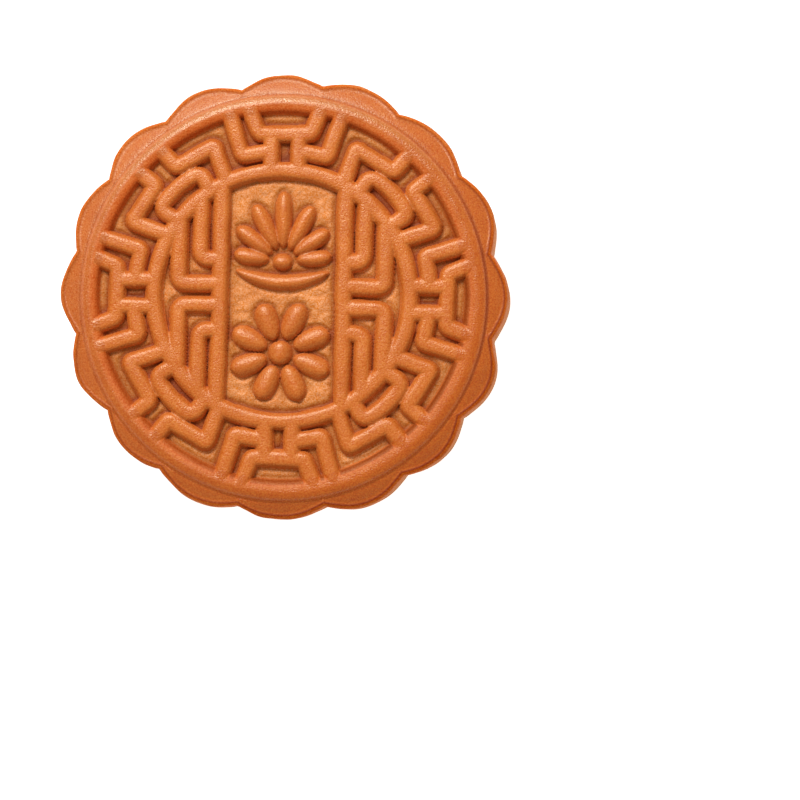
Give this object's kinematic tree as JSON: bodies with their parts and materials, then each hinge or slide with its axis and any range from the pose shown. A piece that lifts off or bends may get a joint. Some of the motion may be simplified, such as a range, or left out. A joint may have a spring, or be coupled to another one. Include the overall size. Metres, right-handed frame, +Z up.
{
  "type": "mooncake",
  "caption": "Round baked mooncake with a petalled side and a face pressed with a raised fret round a panel of lotus flowers.",
  "frame": {"origin": "middle of the flat base, on the surface that the cake rests on", "axes": "+Z up through the pressed face, +Y to the top of the pattern, +X to its right"},
  "size_m": [0.0842, 0.0842, 0.03],
  "materials": {
    "crust": "baked golden-brown pastry with a faint egg-wash sheen"
  },
  "bodies": {
    "root": {"mooncake": "crust"}
  },
  "joints": []
}
